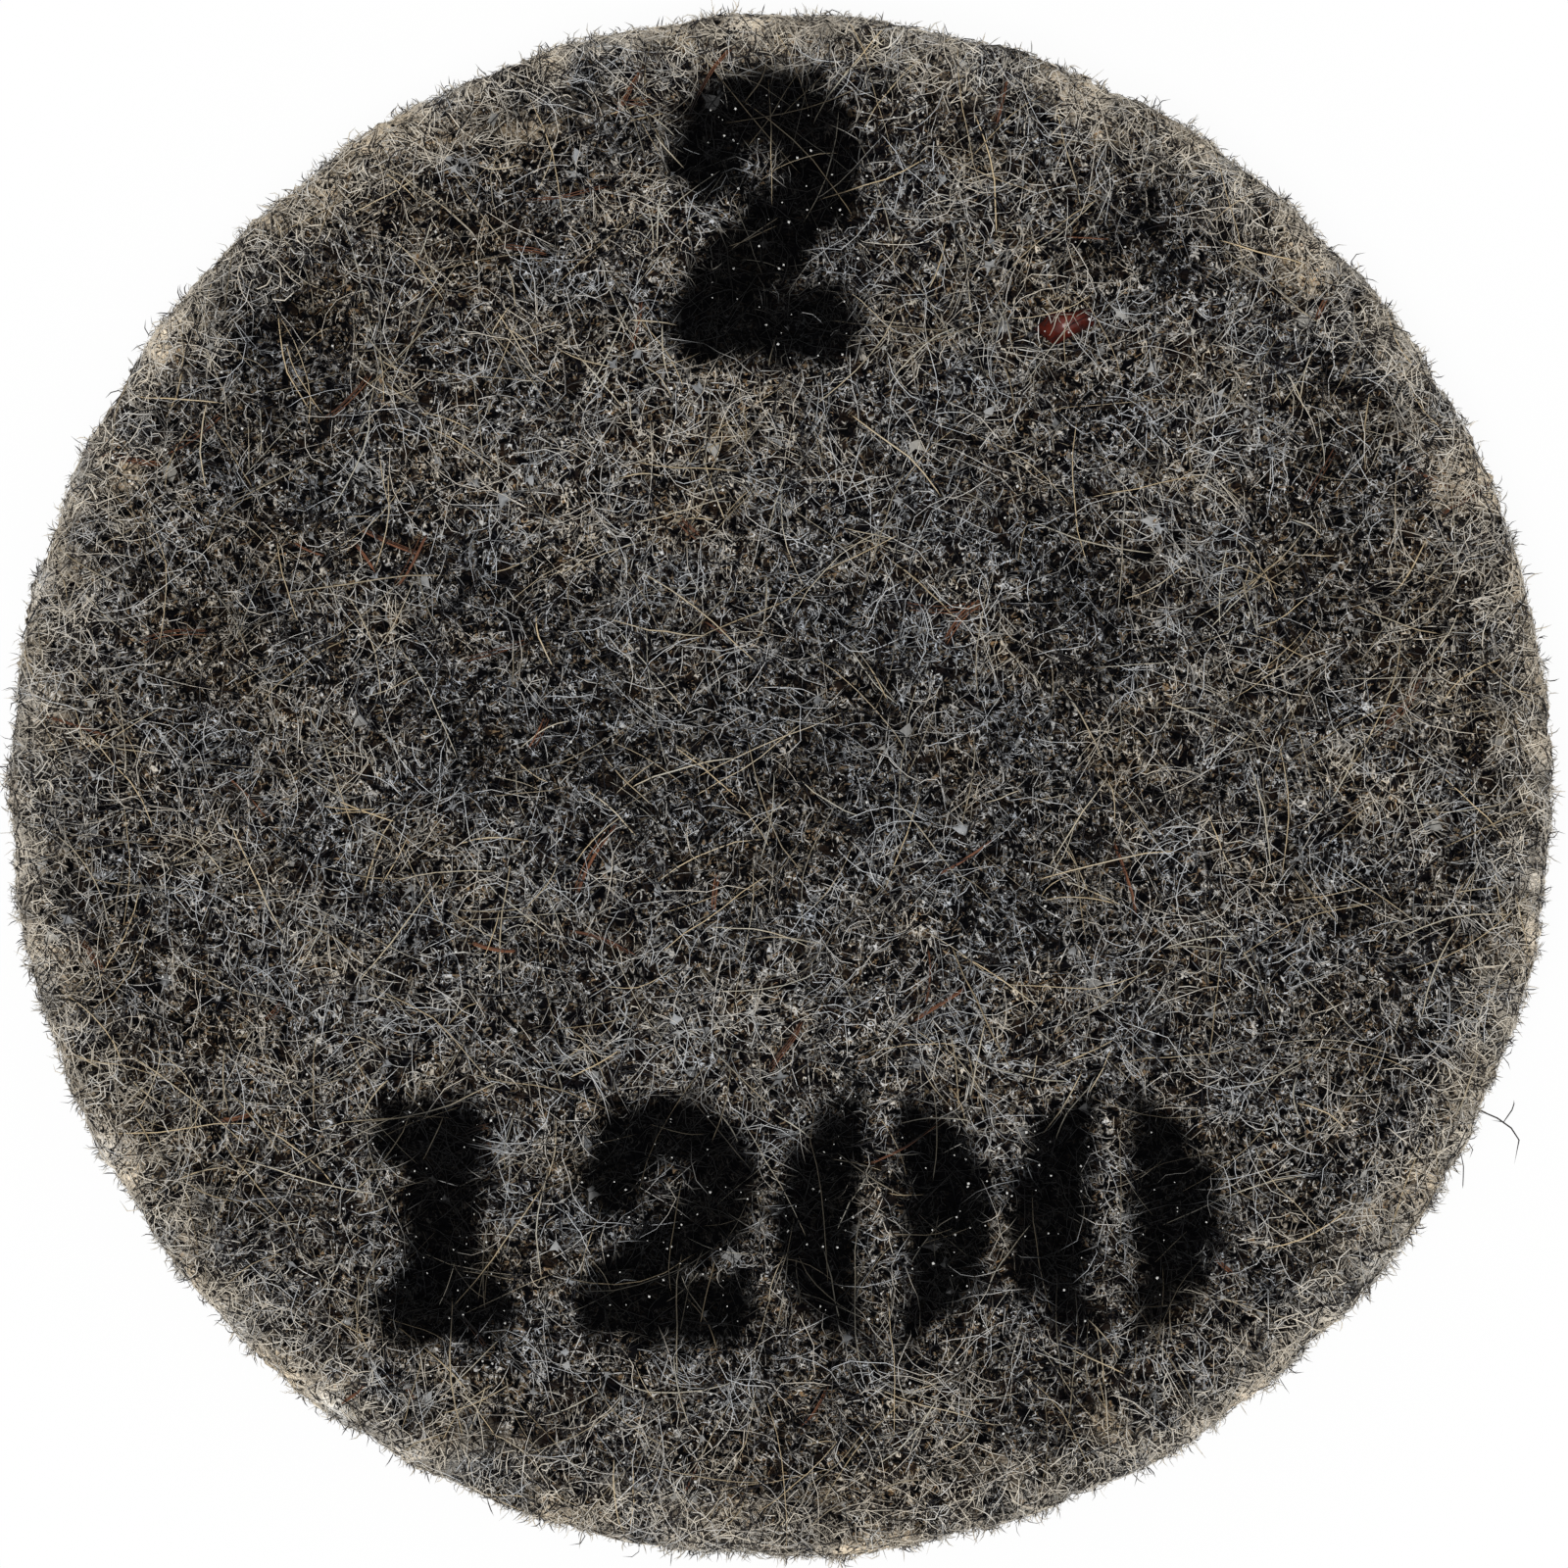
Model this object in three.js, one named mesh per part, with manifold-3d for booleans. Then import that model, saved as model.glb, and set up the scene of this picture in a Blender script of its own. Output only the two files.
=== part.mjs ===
// A round non-woven abrasive disc for a small hook-faced sanding pad.
// It is one piece: a lofty web of crimped fibres, bonded with resin and cut to a circle.
// The web lies flat on its back face, which grips the pad, and its working face is up.
// Millimetres, +Z up, with the origin in the middle of the back face.
import * as THREE from "three";
import { mergeVertices } from "three/addons/utils/BufferGeometryUtils.js";
import Module from "manifold-3d";

const wasm = await Module();
wasm.setup();

// The disc, measured over the strands that make up its surface
const discDiameter = 75;
const webThickness = 7.5;
const workingEdgeRound = 1.5;
const backEdgeRound = 0.8;

// The rows of points that the surface is drawn with, and how far a point strays from its row
const faceRings = 36;
const edgeRows = 6;
const pointStray = 0.3;

// The strands, each a tuft of fibres that the resin holds together, and how deep they lie
const strandCount = 600;
const strandDiameter = 1.9;
const strandStep = 2.2;
const strandSteps = 6;
const strandCurl = 0.45;
const layerDepth = 0.9;
const pitDepth = 1.5;

// The slow swelling of the web, which also keeps the cut edge from being a true circle
const loftHeight = 0.14;
const loftWavelength = 9;
const waveCount = 9;

// Cut ends that stand out of the edge, each rooted under the deepest pit
const endCount = 36;
const endDiameter = 0.5;
const endSides = 5;
const endReach = 0.6;
const endRoot = 0.5;
const endSlant = 0.6;

const discRadius = discDiameter / 2;
const faceRadius = discRadius - workingEdgeRound;
const strandRadius = strandDiameter / 2;

// The half section of the web, from the middle of its working face round to its back.
const section = new THREE.Path()
  .moveTo(0, webThickness)
  .lineTo(faceRadius, webThickness)
  .absarc(faceRadius, webThickness - workingEdgeRound, workingEdgeRound, Math.PI / 2, 0, true)
  .lineTo(discRadius, backEdgeRound)
  .absarc(discRadius - backEdgeRound, backEdgeRound, backEdgeRound, 0, -Math.PI / 2, true);
const sectionLength = section.getLength();

// Where the upright part of the edge starts and ends, as lengths along the half section
const edgeStart = faceRadius + (Math.PI / 2) * workingEdgeRound;
const edgeEnd = sectionLength - (Math.PI / 2) * backEdgeRound;

// A small seeded generator, so that the web comes out the same each time.
function seededRandom(seed) {
  let state = seed;
  return (low, high) => {
    state = (Math.imul(state, 1664525) + 1013904223) >>> 0;
    return low + ((high - low) * state) / 2 ** 32;
  };
}

// A smooth random field over space, mostly between -1 and 1.
function waves(seed, wavelength) {
  const random = seededRandom(seed);
  const parts = [];
  for (let i = 0; i < waveCount; i++) {
    const tilt = Math.acos(random(-0.5, 0.5));
    const direction = new THREE.Vector3().setFromSphericalCoords(1, tilt, random(0, 2 * Math.PI));
    const pace = (2 * Math.PI) / (wavelength * random(0.7, 1.8));
    parts.push({ direction: direction.multiplyScalar(pace), phase: random(0, 2 * Math.PI) });
  }
  return (point) =>
    parts.reduce((sum, wave) => sum + Math.sin(wave.direction.dot(point) + wave.phase), 0) /
    Math.sqrt(2 * waveCount);
}

// The place that lies a given length out from the middle of the face, over the edge if need be,
// and the way that the surface looks there.
function surfaceAt(length, angle) {
  const share = Math.min(1, length / sectionLength);
  const at = section.getPoint(share);
  const tangent = section.getTangent(share);
  const place = new THREE.Vector3(at.x * Math.cos(angle), at.x * Math.sin(angle), at.y);
  const outward = new THREE.Vector3(
    -tangent.y * Math.cos(angle),
    -tangent.y * Math.sin(angle),
    tangent.x,
  );
  return { place, outward };
}

// A strand laid over the web: short lengths that curl one way or the other, at a depth of its own.
function laidStrand(random) {
  const start = edgeEnd * Math.sqrt(random(0, 1));
  const bearing = random(0, 2 * Math.PI);
  const at = new THREE.Vector2(start * Math.cos(bearing), start * Math.sin(bearing));
  const curl = strandCurl * random(-1, 1);
  let heading = random(0, 2 * Math.PI);
  const points = [];
  for (let i = 0; i <= strandSteps; i++) {
    points.push(surfaceAt(Math.min(edgeEnd, at.length()), at.angle()).place);
    heading += curl + strandCurl * random(-0.5, 0.5);
    at.x += strandStep * Math.cos(heading);
    at.y += strandStep * Math.sin(heading);
  }
  return { points, depth: layerDepth * random(0, 1) };
}

// How far a point is from the middle line of a strand.
function distanceTo(strand, point) {
  const piece = new THREE.Line3();
  const nearest = new THREE.Vector3();
  let distance = Infinity;
  for (let i = 1; i < strand.points.length; i++) {
    piece.set(strand.points[i - 1], strand.points[i]);
    piece.closestPointToPoint(point, true, nearest);
    distance = Math.min(distance, nearest.distanceTo(point));
  }
  return distance;
}

const random = seededRandom(5);
const strands = Array.from({ length: strandCount }, () => laidStrand(random));
const loft = waves(11, loftWavelength);

// How far the web lies under its nominal surface: a strand's crest, its flank or a pit.
function depthAt(point) {
  let depth = pitDepth;
  for (const strand of strands) {
    if (strand.points[0].distanceTo(point) > strandStep * strandSteps + strandRadius) continue;
    const distance = distanceTo(strand, point);
    if (distance >= strandRadius) continue;
    const flank = strandRadius - Math.sqrt(strandRadius ** 2 - distance ** 2);
    depth = Math.min(depth, strand.depth + flank);
  }
  return depth;
}

// A point of the matted surface, a little off its row.
function mattedPoint(length, angle) {
  const stray = pointStray * random(-1, 1);
  const aside = length > 0 ? (pointStray * random(-1, 1)) / length : 0;
  const { place, outward } = surfaceAt(Math.max(0, length + stray), angle + aside);
  return place.addScaledVector(outward, loftHeight * loft(place) - depthAt(place));
}

// A closed three.js geometry as a solid that can be joined and cut.
function solidOf(geometry) {
  const bare = geometry.clone();
  bare.deleteAttribute("normal");
  bare.deleteAttribute("uv");
  const merged = mergeVertices(bare, 1e-4);
  return new wasm.Manifold(
    new wasm.Mesh({
      numProp: 3,
      vertProperties: merged.attributes.position.array,
      triVerts: new Uint32Array(merged.index.array),
    }),
  );
}

// A solid as a three.js geometry.
function geometryOf(solid) {
  const mesh = solid.getMesh();
  const geometry = new THREE.BufferGeometry();
  geometry.setAttribute("position", new THREE.BufferAttribute(mesh.vertProperties, 3));
  geometry.setIndex(new THREE.BufferAttribute(mesh.triVerts, 1));
  geometry.computeVertexNormals();
  return geometry;
}

// A solid without the pockets sealed in between crossed strands, which resin fills.
function withPocketsFilled(solid) {
  const shells = solid.decompose().filter((shell) => shell.volume() > 0);
  return shells.reduce((whole, shell) => whole.add(shell));
}

// The matted web. Each ring of the face has six points more than the one inside it, so that its
// triangles are all about one size, and the rows of the edge have as many as the last ring.
function mattedWeb() {
  const points = [mattedPoint(0, 0)];
  const index = [];
  const around = 6 * faceRings;
  for (let ring = 1; ring <= faceRings; ring++) {
    const inner = points.length - Math.max(1, 6 * (ring - 1));
    const outer = points.length;
    for (let i = 0; i < 6 * ring; i++) {
      points.push(mattedPoint((faceRadius * ring) / faceRings, (Math.PI * i) / (3 * ring)));
    }
    const innerPoint = (i) => inner + (ring > 1 ? i % (6 * (ring - 1)) : 0);
    const outerPoint = (i) => outer + (i % (6 * ring));
    for (let sixth = 0; sixth < 6; sixth++) {
      for (let i = 0; i < ring; i++) {
        const from = sixth * ring + i;
        const within = sixth * (ring - 1) + i;
        index.push(innerPoint(within), outerPoint(from), outerPoint(from + 1));
        if (i < ring - 1) index.push(innerPoint(within), outerPoint(from + 1), innerPoint(within + 1));
      }
    }
  }
  for (let row = 1; row <= edgeRows; row++) {
    const above = points.length - around;
    const length = faceRadius + ((sectionLength - faceRadius) * row) / edgeRows;
    for (let i = 0; i < around; i++) {
      const angle = (2 * Math.PI * i) / around;
      points.push(row < edgeRows ? mattedPoint(length, angle) : surfaceAt(length, angle).place);
    }
    for (let i = 0; i < around; i++) {
      const next = (i + 1) % around;
      index.push(above + i, above + around + i, above + around + next);
      index.push(above + i, above + around + next, above + next);
    }
  }
  const backRow = points.length - around;
  for (let i = 0; i < around; i++) index.push(backRow + i, points.length, backRow + ((i + 1) % around));
  points.push(new THREE.Vector3(0, 0, 0));
  const geometry = new THREE.BufferGeometry().setFromPoints(points);
  geometry.setIndex(index);
  return solidOf(geometry);
}

// A cut end: a short stub that leaves the edge at a slant.
function cutEnd() {
  const angle = random(0, 2 * Math.PI);
  const { place, outward } = surfaceAt(random(edgeStart, edgeEnd - endDiameter), angle);
  const slant = new THREE.Vector3(-outward.y, outward.x, 0).multiplyScalar(random(-endSlant, endSlant));
  const along = outward.clone().add(slant).normalize();
  const root = place.clone().addScaledVector(outward, -pitDepth - endRoot);
  const tip = place.clone().addScaledVector(along, endReach * random(0.3, 1));
  const corners = [];
  for (let side = 0; side < endSides; side++) {
    const turn = (2 * Math.PI * side) / endSides;
    corners.push(new THREE.Vector2(Math.cos(turn), Math.sin(turn)).multiplyScalar(endDiameter / 2));
  }
  const geometry = new THREE.ExtrudeGeometry(new THREE.Shape(corners), {
    steps: 1,
    bevelEnabled: false,
    extrudePath: new THREE.LineCurve3(root, tip),
  });
  return solidOf(geometry);
}

let web = mattedWeb();
for (let i = 0; i < endCount; i++) web = web.add(cutEnd());
web = withPocketsFilled(web);

const abrasiveDisc = new THREE.Mesh(
  geometryOf(web),
  new THREE.MeshStandardMaterial({ color: 0x56524e, roughness: 0.95, metalness: 0 }),
);
abrasiveDisc.name = "abrasive_disc";

const disc = new THREE.Group();
disc.add(abrasiveDisc);

export default disc;
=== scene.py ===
import math

import bpy
import numpy as np
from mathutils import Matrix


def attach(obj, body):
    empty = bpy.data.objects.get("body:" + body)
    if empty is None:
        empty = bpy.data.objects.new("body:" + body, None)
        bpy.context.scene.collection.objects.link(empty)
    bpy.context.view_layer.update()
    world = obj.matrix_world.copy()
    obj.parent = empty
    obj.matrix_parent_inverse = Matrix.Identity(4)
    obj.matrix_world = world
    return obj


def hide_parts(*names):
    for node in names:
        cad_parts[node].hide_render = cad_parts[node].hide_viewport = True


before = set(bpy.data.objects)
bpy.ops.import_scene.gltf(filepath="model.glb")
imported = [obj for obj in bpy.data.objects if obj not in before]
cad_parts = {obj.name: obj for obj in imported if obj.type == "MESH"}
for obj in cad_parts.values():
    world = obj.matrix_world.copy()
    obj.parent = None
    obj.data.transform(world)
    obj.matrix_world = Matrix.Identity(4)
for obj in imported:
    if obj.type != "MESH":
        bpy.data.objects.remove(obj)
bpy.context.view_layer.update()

# Sizes are in millimetres here, and meshes are written in metres
MM = 0.001
DISC_RADIUS = 37.5
WEB_THICKNESS = 7.5
WORKING_ROUND = 1.5
BACK_ROUND = 0.8
RAGGED_DEPTH = 0.12
RAGGED_WAVELENGTH = 5.0

# How deep the loose fibres lie over the core, on the working face and on the back
FACE_DEPTH = 0.6
BACK_DEPTH = 0.6

# The photograph's framing: straight down, with the disc a little off the middle
VIEW_WIDTH = 76.2
VIEW_DISTANCE = 600.0
VIEW_CENTRE = (0.14, 0.08)
SENSOR_WIDTH = 36.0

TURN = 2 * math.pi
seeded = np.random.default_rng


# Fields and places

def cloud(seed, wavelength, waves=20):
    """A smooth random field over the plane, mostly between -1 and 1."""
    rng = seeded(seed)
    angle = rng.uniform(0, TURN, waves)
    pace = TURN / (wavelength * rng.uniform(0.6, 1.8, waves))
    phase = rng.uniform(0, TURN, waves)

    def field(x, y):
        total = np.zeros(np.shape(x))
        for a, k, p in zip(angle, pace, phase):
            total += np.sin(k * (np.cos(a) * x + np.sin(a) * y) + p)
        return total * math.sqrt(1 / waves)

    return field


ragged = cloud(3, RAGGED_WAVELENGTH)
broad_cloud = cloud(21, 9.0)
small_cloud = cloud(22, 2.6)
warm_cloud = cloud(23, 4.5)
clump_cloud = cloud(24, 1.7)
rim_cloud = cloud(25, 4.5)
close_warmth = cloud(26, 2.4)

# Where the web is thin or full: x, y, reach and change of tone
MOTTLES = [
    (-24, 21, 6, -0.26), (-22, 13, 5, -0.14), (-15, 4, 5, -0.18), (-4, 0, 8, -0.26),
    (9, 1.5, 8, -0.18), (16, 10, 5, -0.16), (28, 10, 4, -0.18), (-28, -9.5, 3.5, -0.16),
    (-29.5, -4, 3, 0.3), (-4, 15.5, 6, 0.2), (-14, 13, 4, 0.14), (20, 16.5, 4, 0.18),
    (0, -11, 8, 0.16), (-24, -16.5, 6, 0.16),
]

# Where the web is tan or grey: x, y, reach and change of warmth
WARM_PATCHES = [
    (-19.5, 28.5, 7, 0.5), (-26.5, 8, 3.5, 0.5), (-4.5, 16.5, 5, 0.35), (12, 23.5, 3.5, 0.5),
    (34, 8, 7, 0.5), (18, 1.5, 4, 0.3), (4.5, -35, 5, 0.5), (-32, -15, 5, 0.4),
    (4, 9, 5.5, -0.3), (-10.5, 2.5, 5, -0.3), (8, -5, 4, -0.35),
]


def edge_radius(x, y):
    """How far the cut edge is from the axis, towards each point."""
    length = np.maximum(np.hypot(x, y), 1e-6)
    out = DISC_RADIUS / length
    return DISC_RADIUS + RAGGED_DEPTH * ragged(x * out, y * out)


def face_height(radius):
    """The height of the working face's crest, which falls away round the rim."""
    over = np.clip(radius - (DISC_RADIUS - WORKING_ROUND), 0, WORKING_ROUND)
    return WEB_THICKNESS - WORKING_ROUND + np.sqrt(WORKING_ROUND**2 - over**2)


def back_height(radius):
    """The height of the back's lowest fibres, which rises round the rim."""
    over = np.clip(radius - (DISC_RADIUS - BACK_ROUND), 0, BACK_ROUND)
    return BACK_ROUND - np.sqrt(BACK_ROUND**2 - over**2)


def plan(places):
    """The x and y of each point."""
    return places[..., 0], places[..., 1]


def radius_of(places):
    """How far each point is from the axis."""
    return np.hypot(*plan(places))


def polar(radius, angle):
    """Flat places from how far out they are and in which direction."""
    return np.stack([radius * np.cos(angle), radius * np.sin(angle)], axis=-1)


def raised(flat, height):
    """Flat places with their heights."""
    return np.concatenate([flat, np.broadcast_to(height, flat.shape[:-1])[..., None]], axis=-1)


def smooth_step(low, high, value):
    """0 under low, 1 over high, and a smooth rise between them."""
    share = np.clip((value - low) / (high - low), 0, 1)
    return share * share * (3 - 2 * share)


def patched(start, x, y, patches):
    """A field with soft round patches added to it."""
    total = start
    for centre_x, centre_y, reach, change in patches:
        total = total + change * np.exp(-((x - centre_x) ** 2 + (y - centre_y) ** 2) / reach**2)
    return total


def fullness(x, y):
    """How full and pale the web is at each place, round 1."""
    return patched(1 + 0.13 * broad_cloud(x, y) + 0.15 * small_cloud(x, y), x, y, MOTTLES)


def clumps(x, y):
    """0 over most of the web and up to 1 where fine pale fibres are matted in a clump."""
    return smooth_step(0.5, 2.0, clump_cloud(x, y))


def warmth_at(x, y):
    """How warm the web's colour is at each place: tan where it is full, and greyer where thin."""
    outward = 0.12 * (x * x + y * y) / DISC_RADIUS**2
    start = 0.4 + outward + 0.3 * warm_cloud(x, y) + 0.4 * (fullness(x, y) - 1)
    return patched(start, x, y, WARM_PATCHES)


def rim_fade(x, y, start, end, patchiness):
    """Rises unevenly from 0 to 1 between two radii, towards the cut edge."""
    return np.clip((np.hypot(x, y) + patchiness * rim_cloud(x, y) - start) / (end - start), 0, 1)


# The stencilled number: plain figures made of bars and arcs, as distances to their strokes

def bar_distance(x, y, start, end):
    """The distance of each point from a straight line."""
    along = np.subtract(end, start)
    share = ((x - start[0]) * along[0] + (y - start[1]) * along[1]) / np.dot(along, along)
    share = np.clip(share, 0, 1)
    return np.hypot(x - start[0] - share * along[0], y - start[1] - share * along[1])


def arc_distance(x, y, centre, radius, start, end):
    """The distance of each point from an arc, anticlockwise in degrees."""
    dx, dy = x - centre[0], y - centre[1]
    angle = (np.degrees(np.arctan2(dy, dx)) - start) % 360
    on_arc = angle <= end - start
    ends = [np.radians(start), np.radians(end)]
    tips = [np.hypot(dx - radius * np.cos(a), dy - radius * np.sin(a)) for a in ends]
    return np.where(on_arc, np.abs(np.hypot(dx, dy) - radius), np.minimum(*tips))


def figure_one(x, y, centre, height, stroke):
    """A one: a thick upright with a flag and a short foot."""
    cx, cy = centre
    half = height / 2 - stroke / 2
    flag = bar_distance(x, y, (cx - 0.4 * stroke, cy + half), (cx, cy + half))
    upright = bar_distance(x, y, (cx, cy - half), (cx, cy + half))
    foot = bar_distance(x, y, (cx - 0.35 * stroke, cy - half), (cx + 0.35 * stroke, cy - half))
    return np.minimum(np.minimum(flag, upright), foot) - stroke / 2


def figure_two(x, y, centre, width, height, stroke):
    """A two: an arc, a slanting stroke and a base."""
    cx, cy = centre
    bend = (width - stroke) / 2
    middle = (cx, cy + height / 2 - stroke / 2 - bend)
    low = cy - height / 2 + stroke / 2
    arc = arc_distance(x, y, middle, bend, -35, 175)
    tip = math.radians(-35)
    arc_tip = (middle[0] + bend * math.cos(tip), middle[1] + bend * math.sin(tip))
    slant = bar_distance(x, y, arc_tip, (cx - bend * 0.75, low + stroke * 0.35))
    base = bar_distance(x, y, (cx - bend, low), (cx + bend, low))
    return np.minimum(np.minimum(arc, slant), base) - stroke / 2


def figure_nought(x, y, centre, width, height, bridge):
    """A nought as a stencil cuts it: two halves with a narrow bridge between them."""
    cx, cy = centre
    half_width, half_height = width / 2, height / 2
    oval = (np.hypot((x - cx) / half_width, (y - cy) / half_height) - 1) * half_width
    return np.maximum(oval, bridge / 2 - np.abs(x - cx))


TOP_FIGURE = dict(centre=(-0.8, 27.8), width=9.6, height=14.6, stroke=4.0)
LOWER_LINE = -21.1
LOWER_HEIGHT = 12.2


def number_distance(x, y):
    """The distance of each point from the nearest figure, negative inside it."""
    line = LOWER_LINE
    figures = [
        figure_two(x, y, **TOP_FIGURE),
        figure_one(x, y, (-16.4, line), LOWER_HEIGHT, 4.0),
        figure_two(x, y, (-5.5, line), 8.8, LOWER_HEIGHT, 3.5),
        figure_nought(x, y, (4.9, line), 10.8, LOWER_HEIGHT, 1.9),
        figure_nought(x, y, (16.1, line), 10.4, LOWER_HEIGHT, 1.9),
    ]
    return np.minimum.reduce(figures)


INK_SOFTNESS = 0.65
ink_cloud = cloud(31, 1.6)


def ink_at(x, y, shift=0.0):
    """How much ink lies at each point, with a soft uneven edge."""
    distance = number_distance(x, y) - 0.15 + 0.25 * ink_cloud(x, y) + shift
    return 1 - smooth_step(-INK_SOFTNESS, INK_SOFTNESS, distance)


# Lines: the middle lines of fibres, as arrays of fibres by points by x, y and z

def each(rng, low, high, count):
    """A random value for each line, as a column."""
    return rng.uniform(low, high, count)[:, None]


def curved_lines(rng, count, steps, length, turn, wobble):
    """Flat curved lines round their own middles, with random headings."""
    span = each(rng, *length, count)
    total = each(rng, *turn, count) * rng.choice([-1, 1], count)[:, None]
    share = (np.arange(steps) + 0.5) / steps - 0.5
    drift = np.cumsum(rng.normal(0, wobble, (count, steps)), axis=1)
    heading = each(rng, 0, TURN, count) + total * share + drift
    part = np.ones(steps)
    part[[0, -1]] = 0.5
    part = part / part.sum()
    ahead = np.cumsum(polar(span * part, heading), axis=1)
    line = np.concatenate([np.zeros((count, 1, 2)), ahead], axis=1)
    return line - line.mean(axis=1, keepdims=True)


def scattered(rng, count, reach, density=None):
    """Random places over a circle, thinner where the density field is low."""
    places = np.zeros((0, 2))
    while len(places) < count:
        radius = reach * np.sqrt(rng.uniform(0, 1, count))
        angle = rng.uniform(0, TURN, count)
        found = polar(radius, angle)
        if density is not None:
            found = found[rng.uniform(0, 1, count) < density(*plan(found))]
        places = np.concatenate([places, found])
    return places[:count]


def kept_inside(flat, margin):
    """Flat lines with those that cross the cut edge moved in until they end at it."""
    over = np.max(radius_of(flat) - edge_radius(*plan(flat)), axis=1) + margin
    middle = flat.mean(axis=1)
    inward = middle / np.maximum(np.hypot(*middle.T), 1)[:, None]
    return flat - (np.maximum(over, 0)[:, None] * inward)[:, None, :]


def face_lines(rng, count, steps, length, turn, wobble, depth, arch, tuck, density=None):
    """Fibres over the working face, each at its own depth, bowed up and tucked in at its ends."""
    share = np.linspace(-1, 1, steps + 1)
    flat = curved_lines(rng, count, steps, length, turn, wobble)
    flat += scattered(rng, count, DISC_RADIUS, density)[:, None, :]
    flat = kept_inside(flat, rng.uniform(-0.25, 0.06, count))
    low = each(rng, *depth, count)
    bow = each(rng, 0, arch, count) * (1 - share**2)
    ends = each(rng, 0.3 * tuck, tuck, count) * share**4
    slope = rng.normal(0, 0.08, count)[:, None] * share
    return raised(flat, face_height(radius_of(flat)) - np.maximum(low - bow + ends + slope, 0))


def back_lines(rng, count, steps, length, turn, wobble, depth):
    """Fibres over the back, which lie flat because the disc rests on them."""
    share = np.linspace(-1, 1, steps + 1)
    flat = curved_lines(rng, count, steps, length, turn, wobble)
    flat = kept_inside(flat + scattered(rng, count, DISC_RADIUS)[:, None, :], 0.1)
    low = each(rng, *depth, count)
    return raised(flat, back_height(radius_of(flat)) + low + 0.25 * share**4)


def side_lines(rng, count, steps, length, turn, depth):
    """Fibres along the cut edge: lines drawn flat and then wrapped round the disc."""
    made = np.zeros((0, steps + 1, 3))
    while len(made) < count:
        flat = curved_lines(rng, count, steps, length, turn, 0.2)
        flat[:, :, 1] *= 0.7
        angle = each(rng, 0, TURN, count) + flat[:, :, 0] / DISC_RADIUS
        height = each(rng, BACK_ROUND, WEB_THICKNESS - WORKING_ROUND, count) + flat[:, :, 1]
        inward = each(rng, *depth, count)
        x, y = np.cos(angle), np.sin(angle)
        line = raised(polar(edge_radius(x, y) - inward, angle), height)
        fits = np.all((height > 0.25) & (height < WEB_THICKNESS - 0.5), axis=1)
        made = np.concatenate([made, line[fits]])
    return made[:count]


# Meshes: batches of closed bodies that share one pattern of faces

def placed(name, data):
    """A new object in the scene."""
    made = bpy.data.objects.new(name, data)
    bpy.context.collection.objects.link(made)
    return made


TUBE_SIDES = 3


def tube_pattern(steps):
    """The faces and map of a closed tube that comes to a point at both ends."""
    faces, places = [], []

    def add(*corners):
        """A face between corners, given as how far along the tube they are and how far round it."""
        numbers = []
        for i, side in corners:
            inner = 1 + TUBE_SIDES * (i - 1) + int(side) % TUBE_SIDES
            numbers.append(0 if i == 0 else 1 + TUBE_SIDES * (steps - 1) if i == steps else inner)
        faces.append(numbers)
        places.append([(i / steps, side / TUBE_SIDES) for i, side in corners])

    for a in range(TUBE_SIDES):
        b = a + 1
        add((0, a + 0.5), (1, a), (1, b))
        for i in range(1, steps - 1):
            add((i, a), (i + 1, a), (i + 1, b))
            add((i, a), (i + 1, b), (i, b))
        add((steps, a + 0.5), (steps - 1, b), (steps - 1, a))
    return np.array(faces), np.array(places, dtype=float)


def unit(vectors):
    """The vectors at length one."""
    return vectors / np.maximum(np.linalg.norm(vectors, axis=-1, keepdims=True), 1e-9)


def tubes(line, width, taper=0.75):
    """A closed three-sided tube along each line, a little thinner towards its ends."""
    count, points = line.shape[:2]
    along = unit(line[:, 2:] - line[:, :-2])
    aside = np.stack([along[:, :, 1], -along[:, :, 0], np.zeros(along.shape[:2])], axis=2)
    aside = unit(aside + [1e-6, 0, 0])
    over = np.cross(aside, along)
    share = np.linspace(-1, 1, points)[1:-1]
    half = np.asarray(width)[:, None] / 2 * (1 - (1 - taper) * share**2)
    rings = []
    for k in range(TUBE_SIDES):
        angle = TURN * (0.25 + k / TUBE_SIDES)
        offset = math.cos(angle) * aside + math.sin(angle) * over
        rings.append(line[:, 1:-1] + half[:, :, None] * offset)
    ring = np.stack(rings, axis=2).reshape(count, -1, 3)
    places = np.concatenate([line[:, :1], ring, line[:, -1:]], axis=1)
    faces, uv = tube_pattern(points - 1)
    return dict(places=places, faces=faces, uv=uv)


def random_tubes(rng, line, low, high, taper=0.75):
    """A tube of a random width along each line."""
    return tubes(line, rng.uniform(low, high, len(line)), taper)


def lenses(rim, rise):
    """A closed thin body over each rim of points, highest in its middle above and below."""
    corners = rim.shape[1]
    middle = rim.mean(axis=1, keepdims=True)
    lift = np.asarray(rise)[:, None, None] * np.array([0, 0, 1])
    places = np.concatenate([rim, middle + lift, middle - lift], axis=1)
    faces, uv = [], []
    for i in range(corners):
        after = (i + 1) % corners
        a, b = TURN * i / corners, TURN * (i + 1) / corners
        for centre, face in ((0.25, (corners, i, after)), (0.75, (corners + 1, after, i))):
            near, far = ((centre + 0.22 * math.cos(t), 0.5 + 0.45 * math.sin(t)) for t in (a, b))
            faces.append(face)
            uv.append(((centre, 0.5), near, far) if centre < 0.5 else ((centre, 0.5), far, near))
    return dict(places=places, faces=np.array(faces), uv=np.array(uv, dtype=float))


RIM_WARMTH = 0.4


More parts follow.
